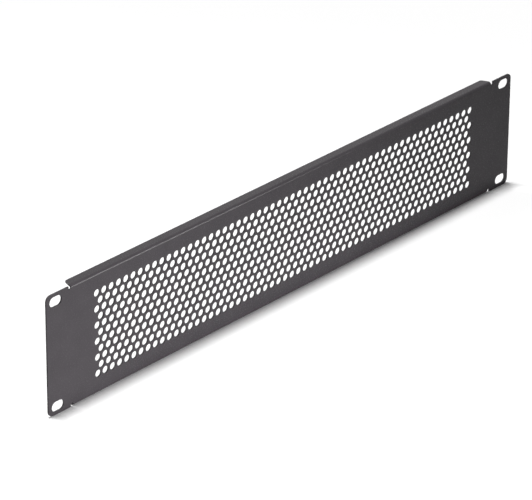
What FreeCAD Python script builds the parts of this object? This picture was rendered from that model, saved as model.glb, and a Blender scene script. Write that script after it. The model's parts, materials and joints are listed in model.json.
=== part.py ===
import FreeCAD, Part

import math
import os

import Sketcher

# A vented blanking panel for a 19 inch rack, two units high. It is one steel sheet: a flat face
# with an ear at each end, a flange folded back along the top and the bottom edge, an oblong
# mounting slot near each corner and a staggered field of round vent holes.
#
# Frame: X runs along the panel, Z is up, and the front looks along -Y. The origin is the middle of
# the slot pattern on the rear face, the plane that lies against the rack rails, so the sheet
# fills Y from -sheet_thickness to 0 and the flanges reach back along +Y. Sizes are in millimetres.

NODE = "blanking_panel"

DRIVING_SIZES = (
    ("overall_width", "482.6", "ear edge to ear edge, the 19 inch panel width"),
    ("panel_height", "88.1", "two rack units less the clearance between panels"),
    ("sheet_thickness", "1.2", "steel sheet with its coating"),
    ("bend_inner_radius", "0.8", "inside radius of both folds"),
    ("flange_depth", "8.2", "front face to the free edge of a flange"),
    ("ear_width", "23.1", "outer edge of an ear to the end of the folds"),
    ("flange_taper", "3.8", "how far each end of a flange comes in by its free edge"),
    ("flange_corner_radius", "2.0", "corners of a flange at its free edge"),
    ("relief_width", "2.1", "gap between the end of a fold and the ear"),
    ("relief_run", "0.4", "how far a relief cut goes past the end of the bend"),
    ("corner_radius", "4.2", "outer corners of the ears"),
    ("slot_inset_across", "8.75", "outer edge of an ear to a slot's centre, 465.1 between slots"),
    ("slot_inset_up", "5.95", "top or bottom edge to a slot's centre, 76.2 between slots"),
    ("slot_length", "11.0", "mounting slot, end to end"),
    ("slot_width", "7.0", "mounting slot, across"),
    ("hole_diameter", "5.2", "vent hole"),
    ("hole_pitch", "6.94", "between vent holes along a row"),
    ("row_pitch", "5.91", "between neighbouring rows"),
    ("side_border", "21.2", "least distance from the end of a fold to a hole centre"),
    ("edge_border", "12.0", "least distance from the top or bottom edge to a hole centre"),
)

DERIVED_SIZES = (
    ("half_width", "=overall_width / 2"),
    ("half_height", "=panel_height / 2"),
    ("fold_length", "=overall_width - 2 * ear_width"),
    ("half_fold", "=fold_length / 2"),
    ("flange_reach", "=flange_depth - sheet_thickness"),
    ("relief_floor", "=half_height - sheet_thickness - bend_inner_radius - relief_run"),
    ("ear_root", "=half_fold + relief_width"),
    ("slot_spacing_across", "=overall_width - 2 * slot_inset_across"),
    ("slot_spacing_up", "=panel_height - 2 * slot_inset_up"),
    ("slot_radius", "=slot_width / 2"),
    ("slot_straight", "=slot_length - slot_width"),
    ("slot_start_left", "=(slot_spacing_across + slot_straight) / 2"),
    ("slot_row_down", "=slot_spacing_up / 2"),
    ("row_count", "=floor((panel_height - 2 * edge_border) / row_pitch) + 1"),
    ("long_rows", "=ceil(row_count / 2)"),
    ("short_rows", "=row_count - long_rows"),
    ("rows_apart", "=2 * row_pitch"),
    ("long_rows_rise", "=(long_rows - 1) * rows_apart"),
    ("short_rows_rise", "=(short_rows - 1) * rows_apart"),
    ("first_row_down", "=(row_count - 1) * row_pitch / 2"),
    ("second_row_down", "=first_row_down - row_pitch"),
    ("long_row_holes", "=floor((fold_length - 2 * side_border) / hole_pitch) + 1"),
    ("short_row_holes", "=long_row_holes - 1"),
    ("long_row_span", "=(long_row_holes - 1) * hole_pitch"),
    ("short_row_span", "=(short_row_holes - 1) * hole_pitch"),
    ("long_row_left", "=long_row_span / 2"),
    ("short_row_left", "=short_row_span / 2"),
)

# The ends of a sketch element, its centre, and the sketch's own origin and upright axis.
START = 1
END = 2
CENTRE = 3
ORIGIN = (-1, START)
UP_AXIS = -2

RIGHT = 0
UP = math.pi / 2
LEFT = math.pi
DOWN = 3 * math.pi / 2


def fill_sheet(doc):
    """Puts the driving sizes, and what follows from them, in a sheet with one alias a row."""
    sheet = doc.addObject("Spreadsheet::Sheet", "sizes")
    notes = {name: note for name, _, note in DRIVING_SIZES}
    rows = [(name, content) for name, content, _ in DRIVING_SIZES] + list(DERIVED_SIZES)
    for row, (name, content) in enumerate(rows, start=1):
        sheet.set(f"A{row}", name)
        sheet.set(f"B{row}", content)
        sheet.set(f"C{row}", notes.get(name, "follows from the sizes above"))
        sheet.setAlias(f"B{row}", name)
    doc.recompute()


def own_origin(body, role):
    """Gives one of the body's own origin planes or axes, found by its role."""
    return next(feature for feature in body.Origin.OriginFeatures if feature.Role == role)


def add_sketch(body, name, plane):
    sketch = body.newObject("Sketcher::SketchObject", name)
    sketch.AttachmentSupport = [(own_origin(body, plane), "")]
    sketch.MapMode = "FlatFace"
    return sketch


def size(sketch, name):
    return sketch.Document.sizes.get(name)


def at(across, up):
    return FreeCAD.Vector(across, up, 0)


def line(start, end):
    return (Part.LineSegment(start, end), START, END)


def arc(centre, radius, start_angle, end_angle):
    circle = Part.Circle(centre, FreeCAD.Vector(0, 0, 1), radius)
    return (Part.ArcOfCircle(circle, start_angle, end_angle), START, END)


def reverse(piece):
    """Turns an arc round, for an outline that follows it clockwise."""
    curve, start, end = piece
    return (curve, end, start)


def draw_outline(sketch, pieces):
    """Draws a closed outline. Arcs run smoothly into their lines, which stay level or upright."""
    drawn = [sketch.addGeometry(curve, False) for curve, _, _ in pieces]
    for i, (curve, _, end) in enumerate(pieces):
        after = (i + 1) % len(pieces)
        next_curve, next_start, _ = pieces[after]
        smooth = isinstance(curve, Part.ArcOfCircle) or isinstance(next_curve, Part.ArcOfCircle)
        kind = "Tangent" if smooth else "Coincident"
        sketch.addConstraint(Sketcher.Constraint(kind, drawn[i], end, drawn[after], next_start))
    for number, (curve, _, _) in zip(drawn, pieces):
        if not isinstance(curve, Part.LineSegment):
            continue
        if curve.StartPoint.y == curve.EndPoint.y:
            sketch.addConstraint(Sketcher.Constraint("Horizontal", number))
        if curve.StartPoint.x == curve.EndPoint.x:
            sketch.addConstraint(Sketcher.Constraint("Vertical", number))
    return drawn


def dimension(sketch, kind, name, *places):
    """Adds a dimension between the places, tied to the size of that name on the sheet."""
    index = sketch.addConstraint(Sketcher.Constraint(kind, *places, size(sketch, name)))
    label = f"{name}_{index}"
    sketch.renameConstraint(index, label)
    sketch.setExpression(f"Constraints.{label}", f"sizes.{name}")


def draw_face(sketch):
    """A rectangle with rounded corners, centred on the origin."""
    across = size(sketch, "half_width")
    up = size(sketch, "half_height")
    radius = size(sketch, "corner_radius")
    near_across = across - radius
    near_up = up - radius
    bottom, _, right, corner, top, _, left, _ = draw_outline(
        sketch,
        [
            line(at(-near_across, -up), at(near_across, -up)),
            arc(at(near_across, -near_up), radius, -UP, RIGHT),
            line(at(across, -near_up), at(across, near_up)),
            arc(at(near_across, near_up), radius, RIGHT, UP),
            line(at(near_across, up), at(-near_across, up)),
            arc(at(-near_across, near_up), radius, UP, LEFT),
            line(at(-across, near_up), at(-across, -near_up)),
            arc(at(-near_across, -near_up), radius, LEFT, DOWN),
        ],
    )
    for other in (bottom + 1, top + 1, left + 1):
        sketch.addConstraint(Sketcher.Constraint("Equal", corner, other))
    dimension(sketch, "Radius", "corner_radius", corner)
    dimension(sketch, "DistanceX", "half_width", *ORIGIN, right, START)
    dimension(sketch, "DistanceX", "half_width", left, START, *ORIGIN)
    dimension(sketch, "DistanceY", "half_height", *ORIGIN, top, START)
    dimension(sketch, "DistanceY", "half_height", bottom, START, *ORIGIN)


def draw_edge_strip(sketch):
    """The strip of the flat face that the upper fold and its two relief cuts take up."""
    across = size(sketch, "ear_root")
    floor = size(sketch, "relief_floor")
    edge = size(sketch, "half_height")
    bottom, right, top, left = draw_outline(
        sketch,
        [
            line(at(-across, floor), at(across, floor)),
            line(at(across, floor), at(across, edge)),
            line(at(across, edge), at(-across, edge)),
            line(at(-across, edge), at(-across, floor)),
        ],
    )
    dimension(sketch, "DistanceX", "ear_root", *ORIGIN, right, START)
    dimension(sketch, "DistanceX", "ear_root", left, START, *ORIGIN)
    dimension(sketch, "DistanceY", "relief_floor", *ORIGIN, bottom, START)
    dimension(sketch, "DistanceY", "half_height", *ORIGIN, top, START)


def draw_fold_section(sketch):
    """The section of the upper fold: up the face, round the bend and back to the free edge."""
    thickness = size(sketch, "sheet_thickness")
    radius = size(sketch, "bend_inner_radius")
    reach = size(sketch, "flange_reach")
    floor = size(sketch, "relief_floor")
    top = size(sketch, "half_height")
    bend_up = top - thickness - radius
    centre = at(radius, bend_up)
    rear, inner_bend, _, tip, outer, outer_bend, _, foot = draw_outline(
        sketch,
        [
            line(at(0, floor), at(0, bend_up)),
            reverse(arc(centre, radius, UP, LEFT)),
            line(at(radius, top - thickness), at(reach, top - thickness)),
            line(at(reach, top - thickness), at(reach, top)),
            line(at(reach, top), at(radius, top)),
            arc(centre, radius + thickness, UP, LEFT),
            line(at(-thickness, bend_up), at(-thickness, floor)),
            line(at(-thickness, floor), at(0, floor)),
        ],
    )
    sketch.addConstraint(Sketcher.Constraint("Coincident", inner_bend, CENTRE, outer_bend, CENTRE))
    sketch.addConstraint(Sketcher.Constraint("PointOnObject", rear, START, UP_AXIS))
    dimension(sketch, "DistanceX", "sheet_thickness", foot, START, foot, END)
    dimension(sketch, "Radius", "bend_inner_radius", inner_bend)
    dimension(sketch, "DistanceX", "flange_reach", *ORIGIN, tip, START)
    dimension(sketch, "DistanceY", "half_height", *ORIGIN, outer, START)
    dimension(sketch, "DistanceY", "relief_floor", *ORIGIN, rear, START)


def draw_flange_end(sketch):
    """What is cut, seen from above, to slope the right end of a flange and round its corner."""
    across = size(sketch, "half_fold")
    bend_end = at(across, size(sketch, "bend_inner_radius"))
    reach = size(sketch, "flange_reach")
    radius = size(sketch, "flange_corner_radius")
    centre = at(across - size(sketch, "flange_taper"), reach - radius)
    away = bend_end - centre
    facing = math.atan2(away.y, away.x) + math.acos(radius / away.Length)
    touch = centre + at(math.cos(facing), math.sin(facing)) * radius
    end, edge, corner, _ = draw_outline(
        sketch,
        [
            line(bend_end, at(across, reach)),
            line(at(across, reach), at(centre.x, reach)),
            reverse(arc(centre, radius, facing, UP)),
            line(touch, bend_end),
        ],
    )
    dimension(sketch, "Radius", "flange_corner_radius", corner)
    dimension(sketch, "DistanceX", "half_fold", *ORIGIN, end, START)
    dimension(sketch, "DistanceY", "bend_inner_radius", *ORIGIN, end, START)
    dimension(sketch, "DistanceY", "flange_reach", *ORIGIN, end, END)
    dimension(sketch, "DistanceX", "flange_taper", edge, END, edge, START)


def draw_slot(sketch):
    """The mounting slot at the lower left, lying along the panel."""
    radius = size(sketch, "slot_radius")
    left = -size(sketch, "slot_start_left")
    right = left + size(sketch, "slot_straight")
    middle = -size(sketch, "slot_row_down")
    _, right_end, _, left_end = draw_outline(
        sketch,
        [
            line(at(left, middle - radius), at(right, middle - radius)),
            arc(at(right, middle), radius, -UP, UP),
            line(at(right, middle + radius), at(left, middle + radius)),
            arc(at(left, middle), radius, UP, DOWN),
        ],
    )
    dimension(sketch, "Radius", "slot_radius", right_end)
    dimension(sketch, "DistanceX", "slot_straight", left_end, CENTRE, right_end, CENTRE)
    dimension(sketch, "DistanceX", "slot_start_left", left_end, CENTRE, *ORIGIN)
    dimension(sketch, "DistanceY", "slot_row_down", left_end, CENTRE, *ORIGIN)


def draw_vent_hole(sketch, left, down):
    """The first vent hole of a set of rows, left and down from the origin by these sizes."""
    centre = at(-size(sketch, left), -size(sketch, down))
    circle = Part.Circle(centre, FreeCAD.Vector(0, 0, 1), size(sketch, "hole_diameter") / 2)
    hole = sketch.addGeometry(circle, False)
    dimension(sketch, "Diameter", "hole_diameter", hole)
    dimension(sketch, "DistanceX", left, hole, CENTRE, *ORIGIN)
    dimension(sketch, "DistanceY", down, hole, CENTRE, *ORIGIN)


def cut_through_face(body, name, sketch):
    """Cuts a sketch on the rear plane forwards through the face."""
    pocket = body.newObject("PartDesign::Pocket", name)
    pocket.Profile = sketch
    pocket.Type = "ThroughAll"
    pocket.Reversed = True
    return pocket


def mirror(body, name, original, plane):
    mirrored = body.newObject("PartDesign::Mirrored", name)
    mirrored.Originals = [original]
    mirrored.MirrorPlane = (own_origin(body, plane), [""])
    body.Tip = mirrored


def repeat(body, name, original, across, up):
    """Repeats a cut along the panel and up it. Each way gives a count and first to last."""
    pattern = body.newObject("PartDesign::LinearPattern", name)
    pattern.Originals = [original]
    pattern.Direction = (own_origin(body, "X_Axis"), [""])
    pattern.setExpression("Occurrences", across[0])
    pattern.setExpression("Length", across[1])
    pattern.Direction2 = (own_origin(body, "Z_Axis"), [""])
    pattern.setExpression("Occurrences2", up[0])
    pattern.setExpression("Length2", up[1])
    body.Tip = pattern


def add_face(body):
    sketch = add_sketch(body, "face_outline", "XZ_Plane")
    draw_face(sketch)
    face = body.newObject("PartDesign::Pad", "face")
    face.Profile = sketch
    face.setExpression("Length", "sizes.sheet_thickness")


def add_folds(body):
    strip_sketch = add_sketch(body, "edge_strip_outline", "XZ_Plane")
    draw_edge_strip(strip_sketch)
    strip = cut_through_face(body, "upper_edge_strip", strip_sketch)
    mirror(body, "lower_edge_strip", strip, "XY_Plane")
    section = add_sketch(body, "fold_section", "YZ_Plane")
    draw_fold_section(section)
    fold = body.newObject("PartDesign::Pad", "upper_fold")
    fold.Profile = section
    fold.SideType = "Symmetric"
    fold.setExpression("Length", "sizes.fold_length")
    mirror(body, "lower_fold", fold, "XY_Plane")


def slope_flange_ends(body):
    sketch = add_sketch(body, "flange_end_outline", "XY_Plane")
    draw_flange_end(sketch)
    slope = body.newObject("PartDesign::Pocket", "right_flange_ends")
    slope.Profile = sketch
    slope.Type = "ThroughAll"
    slope.SideType = "Symmetric"
    mirror(body, "left_flange_ends", slope, "YZ_Plane")


def cut_slots(body):
    sketch = add_sketch(body, "slot_outline", "XZ_Plane")
    draw_slot(sketch)
    slot = cut_through_face(body, "slot", sketch)
    repeat(body, "slots", slot, ("2", "sizes.slot_spacing_across"), ("2", "sizes.slot_spacing_up"))


def cut_vent_rows(body, row_kind, down):
    """Cuts every second row of vent holes: the long rows, or the short ones between them."""
    sketch = add_sketch(body, f"{row_kind}_hole_outline", "XZ_Plane")
    draw_vent_hole(sketch, f"{row_kind}_row_left", down)
    hole = cut_through_face(body, f"{row_kind}_row_hole", sketch)
    across = (f"sizes.{row_kind}_row_holes", f"sizes.{row_kind}_row_span")
    up = (f"sizes.{row_kind}_rows", f"sizes.{row_kind}_rows_rise")
    repeat(body, f"{row_kind}_row_field", hole, across, up)


def build_panel(doc):
    body = doc.addObject("PartDesign::Body", NODE)
    body.Label = NODE
    add_face(body)
    add_folds(body)
    slope_flange_ends(body)
    cut_slots(body)
    cut_vent_rows(body, "long", "first_row_down")
    cut_vent_rows(body, "short", "second_row_down")
    doc.recompute()
    return body


def check(doc, body):
    """Stops the build at a failed object, an unsound shape, or a cut that takes nothing away."""
    for item in doc.Objects:
        if {"Invalid", "Error"} & set(item.State):
            raise RuntimeError(f"{item.Name} failed: {item.State}")
    before = 0
    for feature in body.Group:
        if not feature.isDerivedFrom("PartDesign::Feature"):
            continue
        volume = feature.Shape.Volume
        if feature.TypeId == "PartDesign::Pocket" and volume >= before:
            raise RuntimeError(f"{feature.Name} cuts nothing")
        before = volume
    if body.Shape.isNull() or not body.Shape.isValid() or len(body.Shape.Solids) != 1:
        raise RuntimeError(f"{body.Name} isn't one sound solid")


def main():
    doc = FreeCAD.newDocument("rack_blanking_panel")
    fill_sheet(doc)
    body = build_panel(doc)
    check(doc, body)
    os.makedirs("parts", exist_ok=True)
    body.Shape.exportStep(f"parts/{body.Label}.step")


main()
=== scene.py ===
import json
import math

import bpy
import numpy as np
from mathutils import Matrix, Vector
from mathutils.geometry import delaunay_2d_cdt


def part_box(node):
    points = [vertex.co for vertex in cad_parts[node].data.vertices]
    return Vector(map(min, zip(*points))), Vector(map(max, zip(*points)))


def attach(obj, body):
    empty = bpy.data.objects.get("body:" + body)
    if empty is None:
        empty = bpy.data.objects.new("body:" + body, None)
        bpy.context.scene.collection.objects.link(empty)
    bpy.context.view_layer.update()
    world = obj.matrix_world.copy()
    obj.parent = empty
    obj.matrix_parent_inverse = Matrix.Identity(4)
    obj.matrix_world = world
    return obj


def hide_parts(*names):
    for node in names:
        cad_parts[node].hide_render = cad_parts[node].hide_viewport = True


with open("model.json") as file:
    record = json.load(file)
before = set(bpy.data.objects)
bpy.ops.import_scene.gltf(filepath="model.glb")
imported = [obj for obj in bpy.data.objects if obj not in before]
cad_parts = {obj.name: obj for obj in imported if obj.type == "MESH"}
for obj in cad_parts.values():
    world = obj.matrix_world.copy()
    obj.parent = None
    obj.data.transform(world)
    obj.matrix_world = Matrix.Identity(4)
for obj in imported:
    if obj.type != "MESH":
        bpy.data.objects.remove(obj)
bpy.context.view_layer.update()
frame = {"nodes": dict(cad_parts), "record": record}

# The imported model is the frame: one node, a folded and perforated sheet. Here the same sheet is
# made again with a finer mesh: it is laid out flat, triangulated, given its thickness and soft
# cut edges, and then folded. Sizes are in millimetres until the mesh is made.

NODE = "blanking_panel"
METRE = 1000.0

low, high = (np.array(corner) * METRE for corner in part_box(NODE))
slots = next(m["dims"] for m in frame["record"]["mounts"] if m["name"] == "rack_slots")

# Sizes that follow from the frame. The rear face is the plane y = 0.
HALF_WIDTH = high[0]
HALF_HEIGHT = high[2]
THICKNESS = -low[1]
FLANGE_REACH = high[1]
SLOT_RADIUS = slots["hole_r_mm"]
SLOT_LENGTH = slots["slot_length_mm"]
SLOT_SPACING_ACROSS = slots["spacing_x_mm"]
SLOT_SPACING_UP = slots["spacing_y_mm"]

# Sizes that the part's source names as well.
BEND_INNER_RADIUS = 0.8
EAR_WIDTH = 23.1
FLANGE_TAPER = 3.8
FLANGE_CORNER_RADIUS = 2.0
RELIEF_WIDTH = 2.1
RELIEF_RUN = 0.4
CORNER_RADIUS = 4.2
HOLE_DIAMETER = 5.2
HOLE_PITCH = 6.94
ROW_PITCH = 5.91
SIDE_BORDER = 21.2
EDGE_BORDER = 12.0

HALF_FOLD = HALF_WIDTH - EAR_WIDTH
EAR_ROOT = HALF_FOLD + RELIEF_WIDTH
BEND_START = HALF_HEIGHT - THICKNESS - BEND_INNER_RADIUS
RELIEF_FLOOR = BEND_START - RELIEF_RUN
BEND_RUN = (BEND_INNER_RADIUS + THICKNESS / 2) * math.pi / 2
FLANGE_RUN = FLANGE_REACH - BEND_INNER_RADIUS

# How finely the mesh follows the form.
EDGE_ROUNDING = 0.16
CUT_CORNER_RADIUS = 0.25
ARC_SAG = 0.02
LARGEST_SAG_SHARE = 0.5
BEND_STEPS = 8
FOLD_COLUMNS = 36
SAME = 1e-6
MERGE_DISTANCE = 1e-5

# The powder coat. Scales are per metre and the grain's depth is in metres.
COAT_TINT_DARK = (0.045, 0.0405, 0.045, 1)
COAT_TINT_LIGHT = (0.051, 0.046, 0.051, 1)
COAT_TINT_EDGES = (0.3, 0.7)
COAT_SPECULAR = 0.11
COAT_ROUGHNESS = (0.2, 0.32)
CLOUD_SCALE = 60.0
CLOUD_DETAIL = 3.0
GRAIN_SCALE = 1400.0
GRAIN_DETAIL = 2.0
GRAIN_STRENGTH = 0.25
GRAIN_DEPTH = 0.0001

# The surroundings: what the camera sees is white, and what lights the object is dimmer.
WHITE = (1, 1, 1, 1)
FLOOR_THROWN = (0.5, 0.5, 0.5, 1)
SURROUND_LIGHT = 0.12
SURROUND_SHOWN = 1.0
FLOOR_HALF = 5.0


def arc_steps(radius, turn):
    """Number of straight steps that keep an arc within ARC_SAG."""
    step = 2 * math.acos(1 - min(ARC_SAG / radius, LARGEST_SAG_SHARE))
    return max(2, math.ceil(abs(turn) / step))


def rounded_loop(corners):
    """Points and outward normals along an outline that runs anticlockwise.

    Each corner is (x, y, radius). Where the outline doesn't turn, the corner is a plain point.
    """
    points = []
    normals = []
    for i, (x, y, radius) in enumerate(corners):
        here = np.array((x, y))
        into = here - corners[i - 1][:2]
        out_of = np.array(corners[(i + 1) % len(corners)][:2]) - here
        heading = math.atan2(into[1], into[0])
        turn = math.remainder(math.atan2(out_of[1], out_of[0]) - heading, 2 * math.pi)
        if abs(turn) < SAME:
            points.append(here)
            normals.append(np.array((math.sin(heading), -math.cos(heading))))
            continue
        side = math.copysign(radius, turn)
        start = here - into / np.hypot(*into) * radius * math.tan(abs(turn) / 2)
        centre = start - side * np.array((math.sin(heading), -math.cos(heading)))
        steps = arc_steps(radius, turn)
        for k in range(steps + 1):
            facing = heading + turn * k / steps
            normal = np.array((math.sin(facing), -math.cos(facing)))
            points.append(centre + side * normal)
            normals.append(normal)
    return np.array(points), np.array(normals)


def opening(loop):
    """Turns a loop round, so that it bounds an opening and its normals point out of the sheet."""
    points, normals = loop
    return points[::-1], -normals[::-1]


def bend_lines():
    """Flat heights of the lines along which the fold turns, from its start to its end."""
    return [BEND_START + BEND_RUN * k / BEND_STEPS for k in range(BEND_STEPS + 1)]


def flange_corner():
    """How far in from the end of the fold a flange's slope would meet its free edge."""
    radius = FLANGE_CORNER_RADIUS
    away = (FLANGE_TAPER, radius - FLANGE_RUN)
    facing = math.atan2(away[1], away[0]) + math.acos(radius / math.hypot(*away))
    return FLANGE_TAPER - radius * math.tan((math.pi / 2 - facing) / 2)


def outline():
    """The flat sheet's outline, from the upper right quarter and its mirror images."""
    bend_end = BEND_START + BEND_RUN
    cut = CUT_CORNER_RADIUS
    quarter = [
        (HALF_WIDTH, HALF_HEIGHT, CORNER_RADIUS),
        (EAR_ROOT, HALF_HEIGHT, cut),
        (EAR_ROOT, RELIEF_FLOOR, cut),
        (HALF_FOLD, RELIEF_FLOOR, cut),
        *((HALF_FOLD, height, 0) for height in bend_lines()),
        (HALF_FOLD, bend_end + cut, cut),
        (HALF_FOLD - flange_corner(), bend_end + FLANGE_RUN, FLANGE_CORNER_RADIUS),
    ]
    upper = quarter + [(-x, y, radius) for x, y, radius in reversed(quarter)]
    lower = [(x, -y, radius) for x, y, radius in reversed(upper)]
    return rounded_loop(upper + lower)


def slot_loops():
    """The four oblong mounting slots."""
    half = SLOT_LENGTH / 2
    loops = []
    for x in (-SLOT_SPACING_ACROSS / 2, SLOT_SPACING_ACROSS / 2):
        for y in (-SLOT_SPACING_UP / 2, SLOT_SPACING_UP / 2):
            box = [
                (x + half, y - SLOT_RADIUS, SLOT_RADIUS),
                (x + half, y + SLOT_RADIUS, SLOT_RADIUS),
                (x - half, y + SLOT_RADIUS, SLOT_RADIUS),
                (x - half, y - SLOT_RADIUS, SLOT_RADIUS),
            ]
            points, normals = rounded_loop(box)
            new = np.hypot(*(points - np.roll(points, 1, axis=0)).T) > SAME
            loops.append(opening((points[new], normals[new])))
    return loops


def hole_loops():
    """The staggered field of vent holes: long rows, with short rows between them."""
    radius = HOLE_DIAMETER / 2
    steps = arc_steps(radius, 2 * math.pi)
    turns = 2 * math.pi * np.arange(steps) / steps
    rim = np.c_[np.cos(turns), np.sin(turns)]
    rows = math.floor((2 * HALF_HEIGHT - 2 * EDGE_BORDER) / ROW_PITCH) + 1
    long_row = math.floor((2 * HALF_FOLD - 2 * SIDE_BORDER) / HOLE_PITCH) + 1
    loops = []
    for row in range(rows):
        count = long_row - row % 2
        y = (row - (rows - 1) / 2) * ROW_PITCH
        for column in range(count):
            x = (column - (count - 1) / 2) * HOLE_PITCH
            loops.append(opening((rim * radius + (x, y), rim)))
    return loops


def within(points, loop):
    """Which of the points lie inside a closed loop, by the edges crossed on the way out."""
    inside = np.zeros(len(points), bool)
    x, y = points.T
    for (x0, y0), (x1, y1) in zip(loop, np.roll(loop, -1, axis=0)):
        if y0 != y1:
            inside ^= ((y0 > y) != (y1 > y)) & (x < x0 + (y - y0) * (x1 - x0) / (y1 - y0))
    return inside


def triangulate(loops):
    """Fills the sheet between its loops, set back by the edge rounding.

    The first loop is the outline and the others are openings. Lines of points along the bends
    and near the flanges' free edges keep the triangles even. Gives the flat points, the
    triangles, and for each loop the places of its points.
    """
    points = []
    edges = []
    owner = []
    for number, (rim, normals) in enumerate(loops):
        first = len(points)
        points.extend(rim - normals * EDGE_ROUNDING)
        edges.extend((first + k, first + (k + 1) % len(rim)) for k in range(len(rim)))
        owner.extend([number] * len(rim))
    end = HALF_FOLD - EDGE_ROUNDING
    flange_end = HALF_FOLD - FLANGE_TAPER - 2 * EDGE_ROUNDING
    bend_end = BEND_START + BEND_RUN
    lines = [(height, end) for height in bend_lines()]
    lines.append((bend_end + FLANGE_RUN - 3 * EDGE_ROUNDING, flange_end))
    for height, reach in lines:
        for side in (-1, 1):
            first = len(points)
            columns = np.linspace(-reach, reach, FOLD_COLUMNS + 1)
            points.extend(np.c_[columns, np.full(len(columns), side * height)])
            edges.extend((first + k, first + k + 1) for k in range(FOLD_COLUMNS))
    flat = [Vector(point) for point in points]
    fill_hull = 0
    tell_sources = True
    made, _, triangles, origins, _, _ = delaunay_2d_cdt(
        flat, edges, [], fill_hull, MERGE_DISTANCE, tell_sources
    )
    made = np.array([point[:] for point in made])
    triangles = np.array(triangles)
    place = {}
    opening_of = np.arange(-1, -1 - len(made), -1)
    for k, sources in enumerate(origins):
        for source in sources:
            place[source] = k
            if source < len(owner) and owner[source] > 0:
                opening_of[k] = owner[source]
    rings = []
    first = 0
    for rim, _ in loops:
        rings.append([place[first + k] for k in range(len(rim))])
        first += len(rim)
    owners = opening_of[triangles]
    solid = (owners != owners[:, :1]).any(axis=1)
    solid &= within(made[triangles].mean(axis=1), made[rings[0]])
    return made, triangles[solid], rings


def fold(flat, depth, across, along, outwards):
    """Folds flat points that lie depth above the rear face, with their normals.

    The normals are given by their parts across the sheet, up it and out of its front.
    """
    x, s = flat[:, 0], flat[:, 1]
    side = np.sign(s)
    past = np.where(np.abs(x) < (HALF_FOLD + EAR_ROOT) / 2, np.abs(s) - BEND_START, 0).clip(0)
    angle = (past / BEND_RUN).clip(0, 1) * math.pi / 2
    back = (past - BEND_RUN).clip(0)
    sine, cosine = np.sin(angle), np.cos(angle)
    radius = BEND_INNER_RADIUS + depth
    y = BEND_INNER_RADIUS - radius * cosine + back
    folded = side * (BEND_START + radius * sine)
    z = np.where(past > 0, folded, s)
    normals = np.c_[
        across,
        along * side * sine - outwards * cosine,
        along * cosine + outwards * side * sine,
    ]
    return np.c_[x, y, z], normals


def sheet_mesh():
    """The folded sheet: front and rear skin, and the rounded walls between them."""
    loops = [outline(), *slot_loops(), *hole_loops()]
    flat, triangles, rings = triangulate(loops)
    rim = np.concatenate([points for points, _ in loops])
    rim_normals = np.concatenate([normals for _, normals in loops])
    still = np.zeros(len(flat))
    level = np.zeros(len(rim))
    layers = [
        fold(flat, THICKNESS, still, still, still + 1),
        fold(flat, 0.0, still, still, still - 1),
        fold(rim, THICKNESS - EDGE_ROUNDING, rim_normals[:, 0], rim_normals[:, 1], level),
        fold(rim, EDGE_ROUNDING, rim_normals[:, 0], rim_normals[:, 1], level),
    ]
    points = np.concatenate([layer[0] for layer in layers])
    normals = np.concatenate([layer[1] for layer in layers])
    rear = len(flat)
    wall_front = 2 * len(flat)
    wall_rear = wall_front + len(rim)
    faces = triangles.tolist() + (triangles[:, ::-1] + rear).tolist()
    first = 0
    for ring in rings:
        columns = [
            (place, wall_front + first + k, wall_rear + first + k, rear + place)
            for k, place in enumerate(ring)
        ]
        for here, after in zip(columns, columns[1:] + columns[:1]):
            for j in range(len(here) - 1):
                faces.append((here[j], here[j + 1], after[j + 1], after[j]))
        first += len(ring)
    mesh = bpy.data.meshes.new("panel_sheet")
    mesh.from_pydata((points / METRE).tolist(), [], faces)
    mesh.polygons.foreach_set("use_smooth", [True] * len(mesh.polygons))
    mesh.normals_split_custom_set_from_vertices(normals.tolist())
    mesh.validate()
    return mesh


def material(name):
    """An empty node material, with its nodes and links."""
    made = bpy.data.materials.new(name)
    made.use_nodes = True
    made.node_tree.nodes.clear()
    return made, made.node_tree.nodes, made.node_tree.links


def powder_coat():
    """Dark grey powder coat: satin, with a fine grain and faint unevenness."""
    made, nodes, links = material("powder_coat")
    output = nodes.new("ShaderNodeOutputMaterial")
    shader = nodes.new("ShaderNodeBsdfPrincipled")
    links.new(shader.outputs["BSDF"], output.inputs["Surface"])
    shader.inputs["Specular IOR Level"].default_value = COAT_SPECULAR
    place = nodes.new("ShaderNodeTexCoord")

    cloud = nodes.new("ShaderNodeTexNoise")
    cloud.inputs["Scale"].default_value = CLOUD_SCALE
    cloud.inputs["Detail"].default_value = CLOUD_DETAIL
    links.new(place.outputs["Object"], cloud.inputs["Vector"])
    tint = nodes.new("ShaderNodeValToRGB")
    shades = zip(tint.color_ramp.elements, COAT_TINT_EDGES, (COAT_TINT_DARK, COAT_TINT_LIGHT))
    for element, edge, shade in shades:
        element.position = edge
        element.color = shade
    links.new(cloud.outputs["Fac"], tint.inputs["Fac"])
    links.new(tint.outputs["Color"], shader.inputs["Base Color"])

    grain = nodes.new("ShaderNodeTexNoise")
    grain.inputs["Scale"].default_value = GRAIN_SCALE
    grain.inputs["Detail"].default_value = GRAIN_DETAIL
    links.new(place.outputs["Object"], grain.inputs["Vector"])
    gloss = nodes.new("ShaderNodeMapRange")
    gloss.inputs["To Min"].default_value, gloss.inputs["To Max"].default_value = COAT_ROUGHNESS
    links.new(grain.outputs["Fac"], gloss.inputs["Value"])
    links.new(gloss.outputs["Result"], shader.inputs["Roughness"])
    bump = nodes.new("ShaderNodeBump")
    bump.inputs["Strength"].default_value = GRAIN_STRENGTH
    bump.inputs["Distance"].default_value = GRAIN_DEPTH
    links.new(grain.outputs["Fac"], bump.inputs["Height"])
    links.new(bump.outputs["Normal"], shader.inputs["Normal"])
    return made


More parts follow.
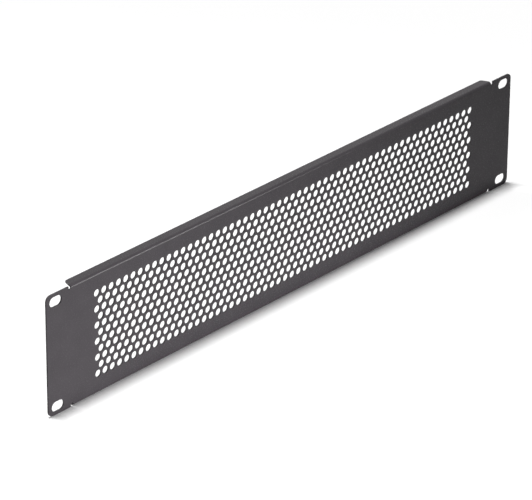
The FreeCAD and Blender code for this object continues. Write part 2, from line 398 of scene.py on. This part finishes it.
def shown_white(nodes, links):
    """A value that is 1 where the camera, a reflection or a glass sees the surface, else 0."""
    path = nodes.new("ShaderNodeLightPath")
    seen = path.outputs["Is Camera Ray"]
    for name in ("Is Glossy Ray", "Is Transmission Ray"):
        either = nodes.new("ShaderNodeMath")
        either.operation = "MAXIMUM"
        links.new(seen, either.inputs[0])
        links.new(path.outputs[name], either.inputs[1])
        seen = either.outputs["Value"]
    return seen


def floor_white():
    """A matt floor that looks white and throws less light back at the object."""
    made, nodes, links = material("floor_white")
    output = nodes.new("ShaderNodeOutputMaterial")
    shader = nodes.new("ShaderNodeBsdfDiffuse")
    links.new(shader.outputs["BSDF"], output.inputs["Surface"])
    colour = nodes.new("ShaderNodeMix")
    colour.data_type = "RGBA"
    # The node's colour sockets share their names with its other types, so they go by number.
    factor, thrown, shown = colour.inputs[0], colour.inputs[6], colour.inputs[7]
    result = colour.outputs[2]
    thrown.default_value = FLOOR_THROWN
    shown.default_value = WHITE
    links.new(shown_white(nodes, links), factor)
    links.new(result, shader.inputs["Color"])
    return made


def add_world():
    """A white surround, which lights the object less than it shows."""
    world = bpy.data.worlds.new("surround")
    bpy.context.scene.world = world
    world.use_nodes = True
    nodes, links = world.node_tree.nodes, world.node_tree.links
    nodes.clear()
    output = nodes.new("ShaderNodeOutputWorld")
    light = nodes.new("ShaderNodeBackground")
    light.inputs["Color"].default_value = WHITE
    links.new(light.outputs["Background"], output.inputs["Surface"])
    strength = nodes.new("ShaderNodeMapRange")
    strength.inputs["To Min"].default_value = SURROUND_LIGHT
    strength.inputs["To Max"].default_value = SURROUND_SHOWN
    links.new(shown_white(nodes, links), strength.inputs["Value"])
    links.new(strength.outputs["Result"], light.inputs["Strength"])


def add_lamp(name, kind, place, aim, energy, **settings):
    """A lamp at place, in metres, that shines towards aim."""
    data = bpy.data.lights.new(name, kind)
    data.energy = energy
    for setting, value in settings.items():
        setattr(data, setting, value)
    lamp = bpy.data.objects.new(name, data)
    bpy.context.scene.collection.objects.link(lamp)
    place = Vector(place)
    lamp.location = place
    lamp.rotation_euler = (place - Vector(aim)).to_track_quat("Z", "Y").to_euler()
    lamp.visible_camera = False


def add_spot(name, place, aim, watts, cone, source):
    """A soft spot lamp, by its cone in degrees and its source's radius in metres."""
    add_lamp(
        name, "SPOT", place, aim, watts,
        spot_size=math.radians(cone), spot_blend=1.0, shadow_soft_size=source,
    )


def add_camera():
    """The camera that was fitted to the photograph, by its angles and distance."""
    azimuth = math.radians(-48.848)
    elevation = math.radians(26.343)
    roll = math.radians(0.348)
    distance = 2.563
    pan_across = -0.018436
    pan_up = -0.009707
    front = Vector((0, low[1] / METRE, 0))
    focal_pixels = 3726.2
    image_width = 532
    sensor_width = 36.0

    back = Vector((
        math.sin(azimuth) * math.cos(elevation),
        -math.cos(azimuth) * math.cos(elevation),
        math.sin(elevation),
    ))
    level = Vector((math.cos(azimuth), math.sin(azimuth), 0))
    rise = back.cross(level)
    right = level * math.cos(roll) + rise * math.sin(roll)
    up = rise * math.cos(roll) - level * math.sin(roll)
    place = front + back * distance + right * pan_across + up * pan_up
    data = bpy.data.cameras.new("camera")
    data.sensor_width = sensor_width
    data.lens = focal_pixels * sensor_width / image_width
    camera = bpy.data.objects.new("camera", data)
    bpy.context.scene.collection.objects.link(camera)
    turn = Matrix((right, up, back)).transposed().to_4x4()
    camera.matrix_world = Matrix.Translation(place) @ turn
    bpy.context.scene.camera = camera


def add_floor():
    """A square floor, level with the panel's lower edge."""
    level = low[2] / METRE
    square = [(-1, -1), (1, -1), (1, 1), (-1, 1)]
    corners = [(x * FLOOR_HALF, y * FLOOR_HALF, level) for x, y in square]
    mesh = bpy.data.meshes.new("floor")
    mesh.from_pydata(corners, [], [(0, 1, 2, 3)])
    mesh.materials.append(floor_white())
    floor = bpy.data.objects.new("floor", mesh)
    bpy.context.scene.collection.objects.link(floor)


coat = powder_coat()
sheet = bpy.data.objects.new("panel_sheet", sheet_mesh())
sheet.data.materials.append(coat)
bpy.context.scene.collection.objects.link(sheet)
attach(sheet, "root")
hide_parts(NODE)
frame["nodes"][NODE].data.materials.clear()
frame["nodes"][NODE].data.materials.append(coat)

add_floor()
add_world()
add_camera()
centre = (0, 0, 0)
add_lamp("overhead", "SUN", (-0.07, 0.145, 2.0), centre, 2.75, angle=math.radians(10))
add_spot("right", (0.95, -1.25, 0.14), (-0.3, 0, 0.03), watts=74.0, cone=18, source=0.12)
add_spot("front", (0.1, -1.5, 0.1), (-0.24, 0, -0.16), watts=106.0, cone=28, source=0.12)
add_spot("low", (0.2, -1.5, 0.05), (0.07, 0, -0.08), watts=72.0, cone=13, source=0.1)
add_spot("rear", (-0.7, 1.8, 0.4), centre, watts=120.0, cone=26, source=0.15)
bpy.context.scene.view_settings.view_transform = "Standard"
